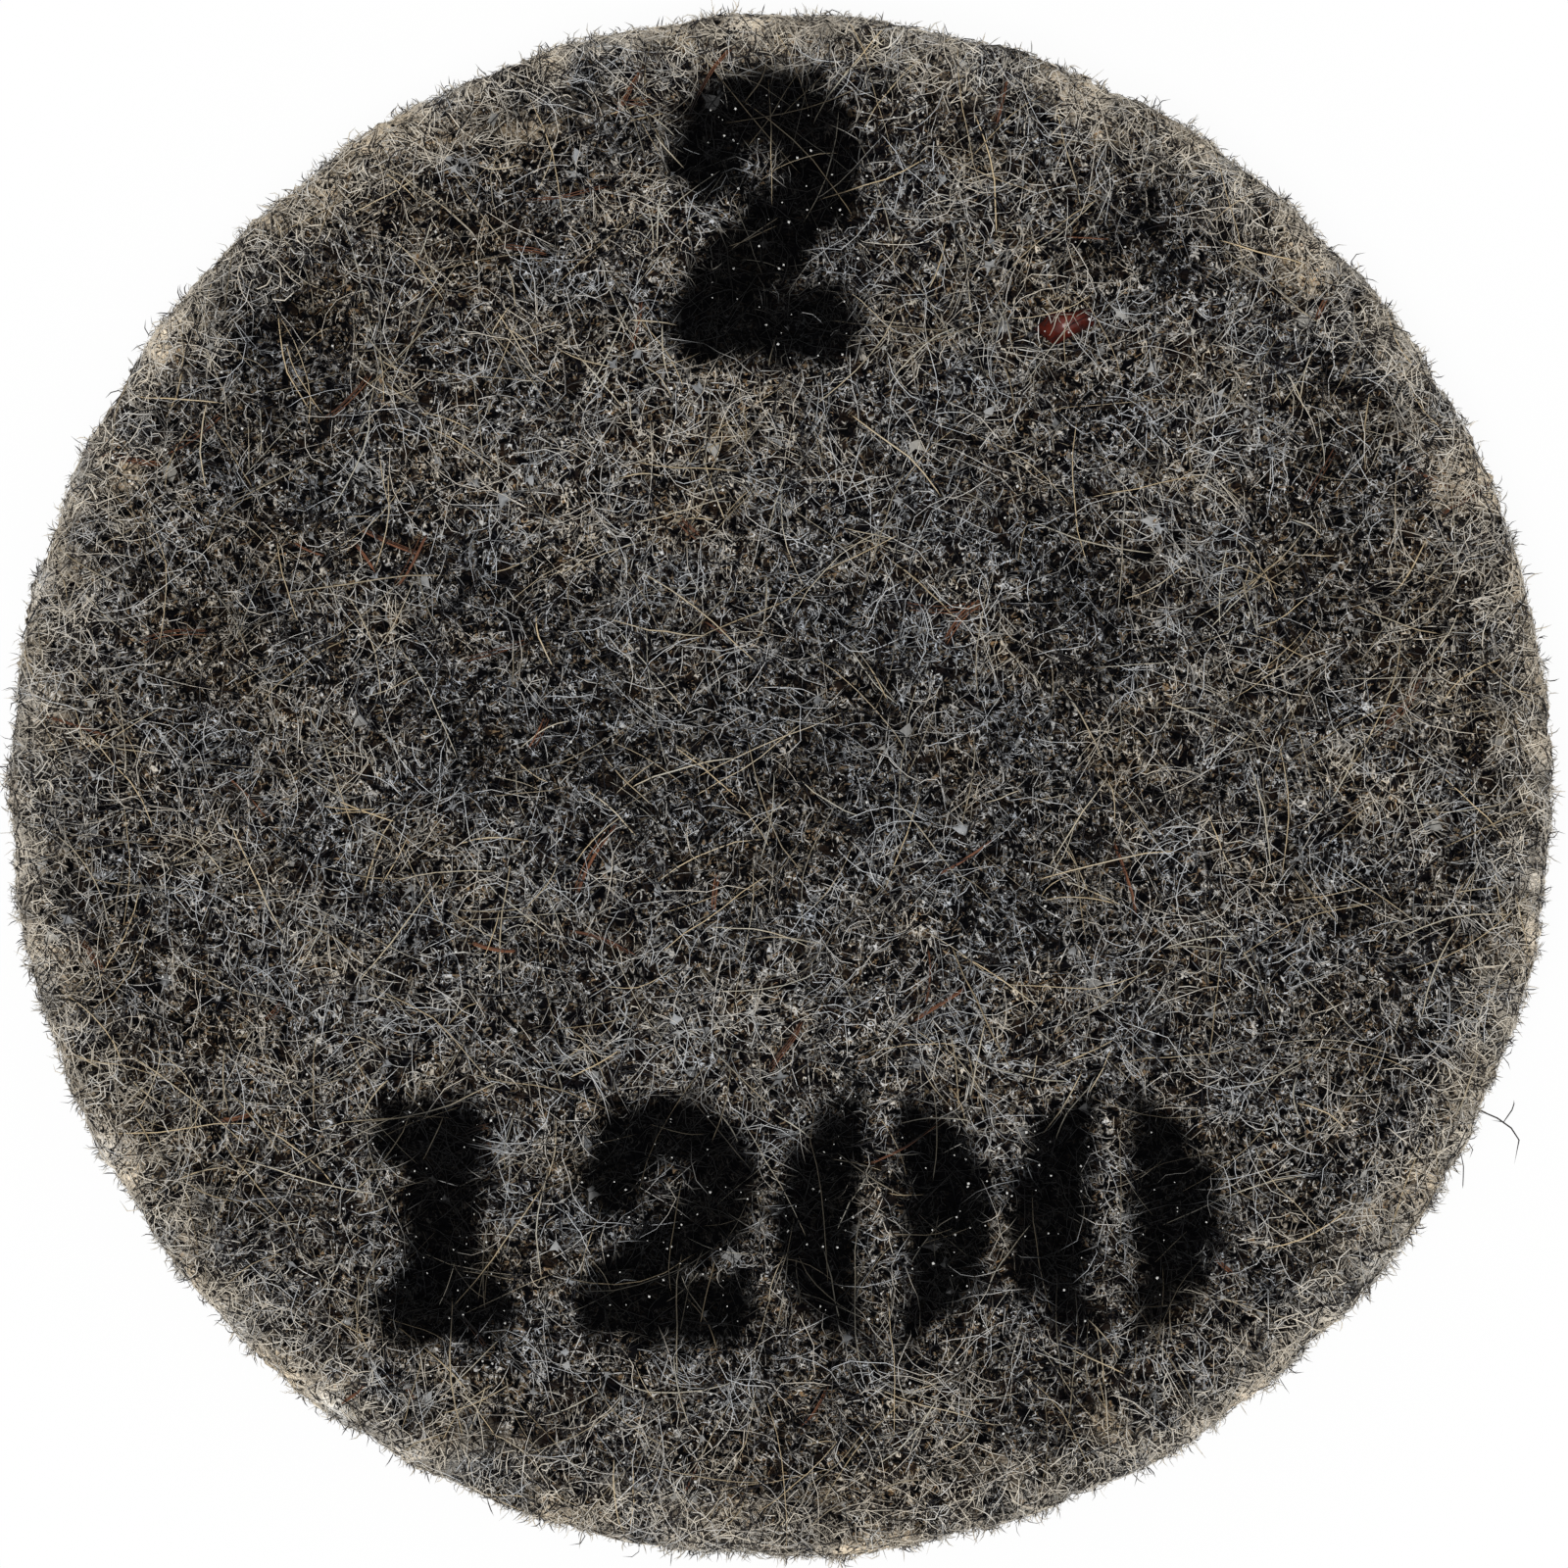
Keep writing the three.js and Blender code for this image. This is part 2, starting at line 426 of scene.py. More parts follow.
def tinted(batch, tone, ink=0.0, warmth=0.5):
    """The batch with how pale, how inked and how warm each of its points is."""
    x, y = plan(batch["places"])
    warmth = warmth + RIM_WARMTH * rim_fade(x, y, 31.0, DISC_RADIUS, 2.0) + 0.25 * close_warmth(x, y)
    for key, values in (("tone", tone), ("ink", ink), ("warmth", warmth)):
        batch[key] = np.broadcast_to(np.asarray(values, dtype=float), x.shape)
    return batch


CELL_MARGIN = 0.12


def mesh_piece(name, batches, material, smooth=True):
    """One object from batches of closed bodies, each body with a cell of its own in the map."""
    total = sum(len(batch["places"]) for batch in batches)
    columns = math.ceil(math.sqrt(total))
    places, faces, maps = [], [], []
    start, body = 0, 0
    for batch in batches:
        count, points = batch["places"].shape[:2]
        offset = start + points * np.arange(count)[:, None, None]
        cell = body + np.arange(count)
        corner = np.stack([cell % columns, cell // columns], axis=1)[:, None, None, :]
        inner = CELL_MARGIN + (1 - 2 * CELL_MARGIN) * batch["uv"][None]
        places.append(batch["places"].reshape(-1, 3))
        faces.append((batch["faces"][None] + offset).reshape(-1, 3))
        maps.append(((corner + inner) / columns).reshape(-1, 2))
        start += count * points
        body += count
    shape = (np.concatenate(part) for part in (places, faces, maps))
    keys = ("tone", "ink", "warmth")
    looks = {key: np.concatenate([batch[key].reshape(-1) for batch in batches]) for key in keys}
    return finish_piece(mesh_object(name, *shape, smooth), material, looks)


def mesh_object(name, places, faces, uv, smooth=True):
    """A mesh object from points in millimetres, triangles and the map place of each corner."""
    mesh = bpy.data.meshes.new(name)
    mesh.vertices.add(len(places))
    mesh.vertices.foreach_set("co", (places * MM).astype(np.float32).ravel())
    mesh.loops.add(faces.size)
    mesh.loops.foreach_set("vertex_index", faces.astype(np.int32).ravel())
    mesh.polygons.add(len(faces))
    mesh.polygons.foreach_set("loop_start", np.arange(0, faces.size, 3, dtype=np.int32))
    mesh.update(calc_edges=True)
    layer = mesh.uv_layers.new(name="OFBake")
    layer.data.foreach_set("uv", uv.astype(np.float32).ravel())
    mesh.polygons.foreach_set("use_smooth", np.full(len(faces), smooth))
    mesh.update()
    return placed(name, mesh)


def finish_piece(piece, material, looks):
    """The piece with its material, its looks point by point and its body."""
    for key, values in looks.items():
        written = piece.data.attributes.new(key, "FLOAT", "POINT")
        written.data.foreach_set("value", values.astype(np.float32))
    piece.data.materials.append(material)
    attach(piece, "root")
    return piece


# Node helpers and the effects that materials share

def new_group(name, inputs, outputs):
    """An empty node group with named sockets, and the ends of those sockets inside it."""
    group = bpy.data.node_groups.new(name, "ShaderNodeTree")
    for label, value in inputs.items():
        kind = "NodeSocketColor" if isinstance(value, tuple) else "NodeSocketFloat"
        group.interface.new_socket(label, in_out="INPUT", socket_type=kind).default_value = value
    for label, kind in outputs.items():
        group.interface.new_socket(label, in_out="OUTPUT", socket_type=kind)
    given, out = (group.nodes.new("NodeGroup" + end) for end in ("Input", "Output"))
    return group, given.outputs, out.inputs


def node(tree, kind, **values):
    """A node with its settings, in lower case, and what feeds its sockets."""
    made = tree.nodes.new(kind)
    for key, value in values.items():
        if key.islower():
            setattr(made, key, value)
        else:
            feed(tree, made.inputs[key.replace("_", " ")], value)
    return made


def feed(tree, socket, value):
    """Gives a socket a value or a link."""
    if isinstance(value, bpy.types.NodeSocket):
        tree.links.new(value, socket)
    else:
        socket.default_value = value


def maths(tree, operation, *values, kind="ShaderNodeMath", **settings):
    """The result of a Math or Vector Math node."""
    made = node(tree, kind, operation=operation, **settings)
    for socket, value in zip(made.inputs, values):
        feed(tree, socket, value)
    return made.outputs[0]


def mixed(tree, share, first, second, blend="MIX"):
    """A mix of two colours."""
    made = node(tree, "ShaderNodeMix", data_type="RGBA", blend_type=blend)
    for index, value in ((0, share), (6, first), (7, second)):
        feed(tree, made.inputs[index], value)
    return made.outputs[2]


def ramped(tree, value, low, high):
    """A value brought from between low and high to between 0 and 1."""
    return node(tree, "ShaderNodeMapRange", Value=value, From_Min=low, From_Max=high).outputs["Result"]


def attribute(tree, name):
    """The value of a mesh attribute."""
    return node(tree, "ShaderNodeAttribute", attribute_name=name).outputs["Fac"]


def object_place(tree):
    """The place of each point in the object."""
    return node(tree, "ShaderNodeTexCoord").outputs["Object"]


def noise(tree, scale, detail, output="Fac"):
    """A noise over the object."""
    made = node(tree, "ShaderNodeTexNoise", Vector=object_place(tree), Scale=scale, Detail=detail)
    return made.outputs[output]


def srgb(red, green, blue):
    """A colour from its sRGB values, 0 to 255."""
    parts = [value / 255 for value in (red, green, blue)]
    return tuple(p / 12.92 if p <= 0.04045 else ((p + 0.055) / 1.055) ** 2.4 for p in parts) + (1.0,)


def fibre_tint_group():
    """The colour of a fibre: deep to lit by its tone, which carries painted shade, cool to warm, uneven
    along it, and inked.
    """
    plain_grey = (0.3, 0.3, 0.3, 1)
    group, given, out = new_group(
        "fibre_tint",
        dict(Deep=plain_grey, Cool=plain_grey, Warm=plain_grey, Ink=plain_grey, Unevenness=0.5),
        dict(Color="NodeSocketColor"),
    )
    drift = maths(group, "SUBTRACT", noise(group, 5200.0, 0.0), 0.5)
    change = maths(group, "MULTIPLY", drift, given["Unevenness"])
    tone = maths(group, "ADD", attribute(group, "tone"), change, use_clamp=True)
    lit = mixed(group, attribute(group, "warmth"), given["Cool"], given["Warm"])
    plain = mixed(group, tone, given["Deep"], lit)
    inked = mixed(group, attribute(group, "ink"), plain, given["Ink"])
    group.links.new(inked, out["Color"])
    return group


def curled_lines_group():
    """Thin curled lines, as fibres matted in the web. Each is lost under others here and there."""
    group, given, out = new_group(
        "curled_lines",
        dict(Scale=1800.0, Width=0.03, Shift=0.0, Turn=0.0, Stretch=1.0, Crimp=0.0, Strong=1.0),
        dict(Mask="NodeSocketFloat", Height="NodeSocketFloat"),
    )
    vectors = "ShaderNodeVectorMath"
    moved = maths(group, "ADD", object_place(group), given["Shift"], kind=vectors)
    turned = node(
        group, "ShaderNodeVectorRotate", rotation_type="Z_AXIS", Vector=moved, Angle=given["Turn"]
    )
    stretch = node(group, "ShaderNodeCombineXYZ", X=given["Stretch"], Y=1.0, Z=1.0)
    drawn_out = maths(group, "DIVIDE", turned.outputs[0], stretch.outputs[0], kind=vectors)
    field = node(
        group, "ShaderNodeTexNoise", Vector=drawn_out, Scale=given["Scale"], Detail=given["Crimp"]
    )
    off = maths(group, "ABSOLUTE", maths(group, "SUBTRACT", field.outputs["Fac"], 0.5))
    share = maths(group, "DIVIDE", off, given["Width"])
    line = maths(group, "SUBTRACT", 1.0, share, use_clamp=True)
    crisp = maths(group, "MULTIPLY", line, 2.8)
    mask = maths(group, "MULTIPLY", crisp, given["Strong"], use_clamp=True)
    group.links.new(mask, out["Mask"])
    group.links.new(line, out["Height"])
    return group


def new_material(name, roughness, gloss):
    """A material with its tree and its Principled BSDF."""
    material = bpy.data.materials.new(name)
    material.use_nodes = True
    tree = material.node_tree
    shader = tree.nodes["Principled BSDF"]
    shader.inputs["Roughness"].default_value = roughness
    shader.inputs["Specular IOR Level"].default_value = gloss
    return material, tree, shader


def bumped(tree, shader, height, strength, distance):
    """Relief for a shader, from a height that changes over the surface."""
    bump = node(tree, "ShaderNodeBump", Height=height, Strength=strength, Distance=distance)
    tree.links.new(bump.outputs["Normal"], shader.inputs["Normal"])


INK_COLOUR = srgb(1, 1, 2)


def fibre_material(name, deep, cool, warm, roughness, gloss):
    """The finish of one kind of fibre, between a cool and a warm colour."""
    material, tree, shader = new_material(name, roughness, gloss)
    tint = node(
        tree, "ShaderNodeGroup", node_tree=fibre_tint,
        Deep=srgb(*deep), Cool=srgb(*cool), Warm=srgb(*warm), Ink=INK_COLOUR,
    )
    tree.links.new(tint.outputs["Color"], shader.inputs["Base Color"])
    return material


# What the matted web's colours are multiplied by, where it is grey and where it is tan
CORE_COOL = (0.93, 0.96, 1.01, 1)
CORE_WARM = (1.08, 0.97, 0.82, 1)

# The fibres drawn in the matted web, from the deepest up: scale, width, shift, turn, stretch,
# crimp, and colour in the middle and at the rim
MATTED_LINES = [
    (3900, 0.050, 0.011, 0, 1, 0, (68, 61, 52), (156, 144, 126)),
    (3400, 0.045, 0.019, 0.5, 1.6, 0, (98, 87, 70), (174, 156, 130)),
    (2900, 0.036, 0.031, 2, 1.8, 0, (132, 127, 116), (206, 196, 178)),
    (2900, 0.046, 0.043, 0.3, 1, 0, (10, 9, 11), (72, 66, 61)),
    (2700, 0.028, 0.053, 0.9, 1.5, 0, (161, 162, 163), (220, 212, 196)),
    (2500, 0.022, 0.061, 2.6, 2.2, 0, (136, 116, 92), (178, 148, 114)),
    (2600, 0.036, 0.067, 1.9, 1, 0, (6, 6, 8), (76, 70, 64)),
    (2500, 0.021, 0.071, 1.7, 1.3, 0, (186, 185, 182), (232, 223, 206)),
    (2300, 0.030, 0.083, 0.2, 3, 0, (5, 5, 8), (48, 45, 43)),
    (2200, 0.017, 0.097, 1.4, 2.6, 0.8, (206, 203, 196), (240, 232, 216)),
    (2100, 0.014, 0.103, 2.9, 1.2, 0.8, (214, 217, 220), (242, 238, 230)),
    (2100, 0.024, 0.113, 0.7, 1.8, 0.8, (4, 4, 7), (34, 33, 34)),
]

# Painted light on the lip of the rim, where the face falls away from the lamp, pales the drawn fibres
# under this one, and those over it stay crisp
LIP_LAYER = 6
LIP_LIGHT_COLOUR = srgb(254, 249, 238)


def core_material():
    """The matted web: fibres drawn over each other on a dark ground, paler towards the cut edge, partly
    as painted light, and with painted shade in its hollows.
    """
    material, tree, shader = new_material("matted_web", 0.85, 0.03)
    hue = ramped(tree, noise(tree, 900.0, 0.0), 0.35, 0.65)
    # Painted shade in part: the ground between the drawn fibres is near-black, as the web's depths under
    # the loose fibres
    drawn = mixed(tree, hue, srgb(13, 13, 17), srgb(36, 28, 23))
    pale = mixed(tree, hue, srgb(132, 123, 112), srgb(208, 196, 177))
    shown = node(tree, "ShaderNodeSeparateColor", Color=noise(tree, 1300.0, 0.0, "Color"))
    strong = [ramped(tree, channel, 0.42, 0.54) for channel in shown.outputs]
    rim, painted_lip_light = attribute(tree, "rim"), attribute(tree, "painted_lip_light")
    heights = []
    for index, (*shape, middle, rim_colour) in enumerate(MATTED_LINES):
        if index == LIP_LAYER:
            pale = mixed(tree, maths(tree, "MULTIPLY", painted_lip_light, 0.85), pale, LIP_LIGHT_COLOUR)
        values = dict(zip(("Scale", "Width", "Shift", "Turn", "Stretch", "Crimp"), shape))
        lines = node(
            tree, "ShaderNodeGroup", node_tree=curled_lines, Strong=strong[index % 3], **values
        )
        heights.append(lines.outputs["Height"])
        drawn = mixed(tree, lines.outputs["Mask"], drawn, srgb(*middle))
        pale = mixed(tree, lines.outputs["Mask"], pale, srgb(*rim_colour))
    edged = mixed(tree, rim, drawn, pale)
    tint = mixed(tree, attribute(tree, "warmth"), CORE_COOL, CORE_WARM)
    toned = node(tree, "ShaderNodeVectorMath", operation="SCALE", Scale=attribute(tree, "tone"))
    feed(tree, toned.inputs[0], mixed(tree, 1.0, edged, tint, "MULTIPLY"))
    # Painted shade: near-black pockets where the web is hollow, from a noise, fewer towards the rim and
    # on the lip
    filled = maths(tree, "MULTIPLY", maths(tree, "ADD", rim, painted_lip_light), 0.045)
    hollow = maths(tree, "ADD", noise(tree, 2300.0, 1.0), filled)
    shaded = mixed(tree, ramped(tree, hollow, 0.36, 0.505), srgb(5, 5, 7), toned.outputs[0])
    inked = mixed(tree, attribute(tree, "ink"), shaded, INK_COLOUR)
    tree.links.new(inked, shader.inputs["Base Color"])
    bumped(tree, shader, maths(tree, "MAXIMUM", heights[-4], heights[-5]), 0.9, 0.00012)
    return material


def grain_glint_material():
    """Small clear abrasive grains, glossy, with a near-white colour that paints their glints."""
    material, tree, shader = new_material("abrasive_grain_glint", 0.12, 0.8)
    colour = mixed(tree, noise(tree, 5000.0, 2.0), srgb(214, 212, 206), srgb(255, 255, 252))
    tree.links.new(colour, shader.inputs["Base Color"])
    return material


def flake_material():
    """The chip of red-brown resin."""
    material, tree, shader = new_material("brown_resin", 0.25, 0.5)
    depth = noise(tree, 1100.0, 4.0)
    colour = mixed(tree, ramped(tree, depth, 0.35, 0.65), srgb(56, 15, 9), srgb(108, 38, 24))
    tree.links.new(colour, shader.inputs["Base Color"])
    bumped(tree, shader, depth, 0.4, 0.0001)
    return material


fibre_tint = fibre_tint_group()
curled_lines = curled_lines_group()

# Each kind of fibre: its colour when deep, dark with painted shade, grey and tan, its roughness and its
# gloss
grey_finish, pale_finish, dark_finish, straw_finish, rust_finish, film_finish = (
    fibre_material(*kind)
    for kind in (
        ("grey_fibre", (24, 22, 21), (228, 231, 234), (240, 230, 213), 0.6, 0.12),
        # The pale edge fibre is a paler copy of the grey fibre, lighter at its deep end too, for the rim
        # and the cut edge: partly the pale rim, partly painted light
        ("pale_edge_fibre", (66, 60, 54), (238, 238, 236), (242, 232, 214), 0.6, 0.12),
        ("dark_fibre", (5, 5, 8), (36, 38, 46), (52, 45, 42), 0.5, 0.15),
        ("straw_fibre", (60, 53, 42), (202, 198, 184), (220, 198, 160), 0.55, 0.2),
        ("rust_fibre", (48, 32, 26), (124, 86, 68), (158, 106, 76), 0.6, 0.15),
        ("resin_film", (60, 60, 60), (152, 154, 156), (168, 164, 155), 0.45, 0.2),
    )
)


# The core: one closed lumpy body of rings, under all the fibres

CORE_RIM_DEPTH = 0.45
CORE_RINGS = 92
CORE_SIDE_ROWS = 10
CORE_BACK_ROWS = 14

lump = cloud(41, 1.7)
small_lump = cloud(43, 0.9)
swell = cloud(42, 6.0)


def core_radius(angle, height):
    """How far the core reaches, in each direction and at each height: torn a little by the cut."""
    cos, sin = np.cos(angle), np.sin(angle)
    around = DISC_RADIUS * np.arctan2(sin, cos)
    tear = 0.06 * lump(around, 1.3 * height) + 0.13 * small_lump(around, 1.3 * height)
    return edge_radius(cos, sin) + tear


def core_face_height(x, y):
    """The height of the matted web under the loose fibres of the working face."""
    radius = np.hypot(x, y)
    near_rim = smooth_step(DISC_RADIUS - 4, DISC_RADIUS - 1.5, radius)
    depth = FACE_DEPTH + (CORE_RIM_DEPTH - FACE_DEPTH) * near_rim
    relief = (1 - 0.5 * near_rim) * (0.14 * lump(x, y) + 0.06 * small_lump(x, y)) + 0.08 * swell(x, y)
    return face_height(radius) - depth + relief


def core_face_rings():
    """Rings of the working face: each has six points more than the one inside it."""
    rings = []
    for i in range(1, CORE_RINGS + 1):
        share = i / CORE_RINGS
        angle = TURN * np.arange(6 * i) / (6 * i)
        height = core_face_height(*plan(polar(DISC_RADIUS * share, angle)))
        rings.append(raised(polar(core_radius(angle, height) * share, angle), height))
    return rings


def core_side_rings(rim):
    """The rings that follow the face's last ring, down the side and in over the back."""
    angle = np.arctan2(rim[:, 1], rim[:, 0])
    rings = []
    for i in range(1, CORE_SIDE_ROWS + 1):
        share = i / CORE_SIDE_ROWS
        height = rim[:, 2] * (1 - share) + (BACK_DEPTH + 0.2) * share
        rings.append(raised(polar(core_radius(angle, height), angle), height))
    for i in range(1, CORE_BACK_ROWS + 1):
        radius = core_radius(angle, BACK_DEPTH) * (1 - i / (CORE_BACK_ROWS + 1))
        flat = polar(radius, angle)
        height = back_height(radius) + BACK_DEPTH * 0.7 + 0.12 * lump(flat[:, 0] + 80, flat[:, 1])
        rings.append(raised(flat, height))
    return rings


def widening_faces(rings):
    """The triangles from a middle point out over rings of six points more each."""
    faces = []
    inner, outer = 0, 1
    for ring in range(1, rings + 1):
        within_count, count = max(6 * (ring - 1), 1), 6 * ring
        for sixth in range(6):
            here = sixth * ring + np.arange(ring)
            within = sixth * (ring - 1) + np.arange(ring)
            near, after = inner + within % within_count, inner + (within + 1) % within_count
            far, beyond = outer + here, outer + (here + 1) % count
            faces.append(np.stack([near, far, beyond], axis=1))
            faces.append(np.stack([near, beyond, after], axis=1)[:-1])
        inner, outer = outer, outer + count
    return np.concatenate(faces)


def band_faces(first, around, rows):
    """The triangles between equal rings, and the fan that closes the last."""
    i = np.arange(around)
    after = (i + 1) % around
    faces = []
    for row in range(rows):
        near, far = first + row * around, first + (row + 1) * around
        faces.append(np.stack([near + i, far + i, far + after], axis=1))
        faces.append(np.stack([near + i, far + after, near + after], axis=1))
    last = first + rows * around
    faces.append(np.stack([np.full(around, last + around), last + after, last + i], axis=1))
    return np.concatenate(faces)


def core_map(places, faces):
    """The core's map: face and back as circles above, and the side as a strip below."""
    points = places[faces]
    middle = points.mean(axis=1)
    normal = unit(np.cross(points[:, 1] - points[:, 0], points[:, 2] - points[:, 0]))
    side = (np.abs(normal[:, 2]) < 0.5) & (radius_of(middle) > DISC_RADIUS - 2)
    back = ~side & (normal[:, 2] < 0)
    scale = 0.24 / DISC_RADIUS
    uv = np.empty(points.shape[:2] + (2,))
    uv[:, :, 0] = 0.25 + points[:, :, 0] * scale
    uv[:, :, 1] = 0.75 + points[:, :, 1] * scale
    uv[back, :, 0] += 0.5
    angle = np.arctan2(points[:, :, 1], points[:, :, 0]) / TURN + 0.5
    seam = angle.max(axis=1, keepdims=True) - angle > 0.5
    angle = angle + seam
    uv[side, :, 0] = 0.01 + 0.97 * angle[side]
    uv[side, :, 1] = 0.05 + 0.35 * points[side][:, :, 2] / WEB_THICKNESS
    return uv.reshape(-1, 2)


def rim_light(x, y, z):
    """How far the pale of the rim shows, partly the web's own paler rim and partly painted light: in
    full at the top, and a little lower down, with painted shade on the side below.
    """
    return 0.16 + 0.84 * smooth_step(3.2, 5.8, z + 0.7 * small_cloud(x + 2 * z, y - 2 * z))


def make_core():
    """The core as an object that stands for the CAD disc."""
    face_rings = core_face_rings()
    side_rings = core_side_rings(face_rings[-1])
    top = np.array([[0, 0, core_face_height(0.0, 0.0)]])
    bottom = np.array([[0, 0, BACK_DEPTH * 0.7]])
    places = np.concatenate([top, *face_rings, *side_rings, bottom])
    around = 6 * CORE_RINGS
    rim_start = 1 + sum(len(ring) for ring in face_rings[:-1])
    faces = np.concatenate([widening_faces(CORE_RINGS), band_faces(rim_start, around, len(side_rings))])
    piece = mesh_object("web_core", places, faces, core_map(places, faces))
    x, y, z = places.T
    face_share = smooth_step(4.4, 5.8, z)
    face = fullness(x, y) + 0.3 * clumps(x, y)
    below = 1.05 + 0.18 * small_cloud(x + 2.5 * z, y - 2.5 * z)
    looks = dict(
        ink=0.98 * ink_at(x, y) * face_share,
        tone=np.clip(below + (face - 0.09 - below) * face_share, 0.35, 1.6),
        warmth=np.clip(warmth_at(x, y), 0, 1),
        # The pale rim of the web, partly painted light, shown in full only near the top of the side
        rim=rim_fade(x, y, 35.5, 37.6, 1.6) * rim_light(x, y, z),
        # Painted light over the last 1.3 mm of the rounded rim, which would otherwise fall into shade
        painted_lip_light=rim_fade(x, y, 36.2, 37.5, 0.3) * rim_light(x, y, z),
    )
    finish_piece(piece, core_material(), looks)
    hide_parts("abrasive_disc")


# Tones: how pale each fibre is at each of its points

def face_tone(places, base, spread_to, rng):
    """The tone of fibres on the working face, by chance and place, with painted shade on the deeper
    fibres and painted light at the rim.
    """
    x, y, z = places[:, :, 0], places[:, :, 1], places[:, :, 2]
    radius = np.hypot(x, y)
    own = (base + (spread_to - base) * rng.uniform(0, 1, len(places)) ** 1.3)[:, None]
    # Painted shade: fibres lying deeper under the crest are darker, by up to a half, as if shaded by the
    # fibres above
    lit = 1.08 - 0.5 * smooth_step(0.1, FACE_DEPTH, face_height(radius) - z)
    drift = fullness(x, y) + 0.35 * clumps(x, y)
    # Paler over the last 2.4 mm, partly the pale rim of the web and partly painted light, and much paler
    # over the last 0.8 mm: painted light where the face falls away from the lamp
    rim = 1 + 0.45 * smooth_step(DISC_RADIUS - 2.4, DISC_RADIUS, radius)
    rim = rim + 0.9 * smooth_step(DISC_RADIUS - 0.8, DISC_RADIUS, radius)
    return np.clip(own * lit * drift * rim, 0, 1)


def face_ink(places, rng, bare_share=0.0):
    """The ink on fibres of the working face. A few came up after printing and are bare."""
    shift = rng.normal(0, 0.3, len(places))[:, None]
    bare = each(rng, 0, 1, len(places)) < bare_share
    ink = ink_at(*plan(places), shift)
    return np.where(bare, ink * 0.6, ink * 0.99)


def face_tinted(batch, rng, tone, warmth, bare_share=0.0, ink_share=1.0):
    """A batch of the working face with random tones and warmth, and the ink that reached it."""
    places = batch["places"]
    tone, warmth = each(rng, *tone, len(places)), each(rng, *warmth, len(places))
    return tinted(batch, tone, ink_share * face_ink(places, rng, bare_share), warmth)


def edge_tinted(batch, rng, tone):
    """A batch of the cut edge with random warmth and tones, paler near the working face: painted light
    at the top of the side and painted shade lower down.
    """
    places = batch["places"]
    tone = each(rng, *tone, len(places)) * (0.35 + 0.65 * rim_light(*np.moveaxis(places, 2, 0)))
    return tinted(batch, tone, warmth=each(rng, 0, 1, len(places)))


# Densities: where each kind of fibre gathers on the working face, from 0 to 1

def rim_share(x, y):
    """0 over most of the face and 1 at its rim, where more fibres stand up."""
    return smooth_step(DISC_RADIUS - 3.8, DISC_RADIUS - 0.8, np.hypot(x, y))


def grey_density(x, y):
    """Where the pale curls are dense."""
    inside = np.clip(0.34 + 0.8 * (fullness(x, y) - 1) + 0.6 * clumps(x, y), 0.08, 1)
    return inside + (1 - inside) * 0.9 * rim_share(x, y)


def dark_density(x, y):
    """Where the near-black fibres gather."""
    return 0.55 + 0.45 * smooth_step(DISC_RADIUS - 7, DISC_RADIUS - 1, np.hypot(x, y))


def straw_density(x, y):
    """Where the tan fibres gather."""
    return np.clip(0.25 + 0.5 * warmth_at(x, y) + 0.3 * rim_share(x, y), 0.05, 1)


# The loose fibres of the working face: count, steps, length, turn, wobble, depth, arch and tuck
FACE_FIBRES = dict(
    low_grey_fibres=(9000, 4, (0.6, 2), (0.3, 3), 0.3, (0.2, 0.5), 0.15, 0.7),
    upper_grey_fibres=(5500, 6, (0.9, 5.2), (0.1, 2.4), 0.3, (0, 0.35), 0.15, 0.7),
    dark_curls=(6500, 5, (0.8, 3.6), (0.2, 3), 0.25, (0, 0.4), 0.15, 0.7),
    dark_ends=(2200, 3, (0.4, 1.6), (0.1, 2), 0.2, (0, 0.35), 0.1, 0.5),
    rim_ends=(3900, 4, (0.5, 2), (0.6, 4), 0.35, (0, 0.35), 0.1, 0.5),
    straws=(620, 7, (1.8, 8.5), (0, 0.9), 0.08, (0, 0.35), 0.2, 0.7),
    rust_bundles=(52, 6, (1, 4.4), (0, 0.6), 0.05, (0.1, 0.45), 0.1, 0.3),
)


def grey_layer(name, seed, tone, width):
    """One layer of the pale curls that lie loose over the matted web."""
    rng = seeded(seed)
    line = face_lines(rng, *FACE_FIBRES[name], grey_density)
    batch = random_tubes(rng, line, *width)
    places = batch["places"]
    warmth = rng.normal(-0.08, 0.3, len(line))[:, None] + warmth_at(*plan(places))
    tinted(batch, face_tone(places, *tone, rng), face_ink(places, rng, 0.02), warmth)
    mesh_piece(name, [batch], grey_finish)


make_core()
grey_layer("low_grey_fibres", 102, tone=(0.05, 1.1), width=(0.03, 0.06))
grey_layer("upper_grey_fibres", 104, tone=(0.1, 1.5), width=(0.024, 0.05))


# Resin knots: small films where fibres cross, with fibres leaving their corners

KNOTS_OF_A_KIND = 173
KNOT_ARM_STEPS = 3


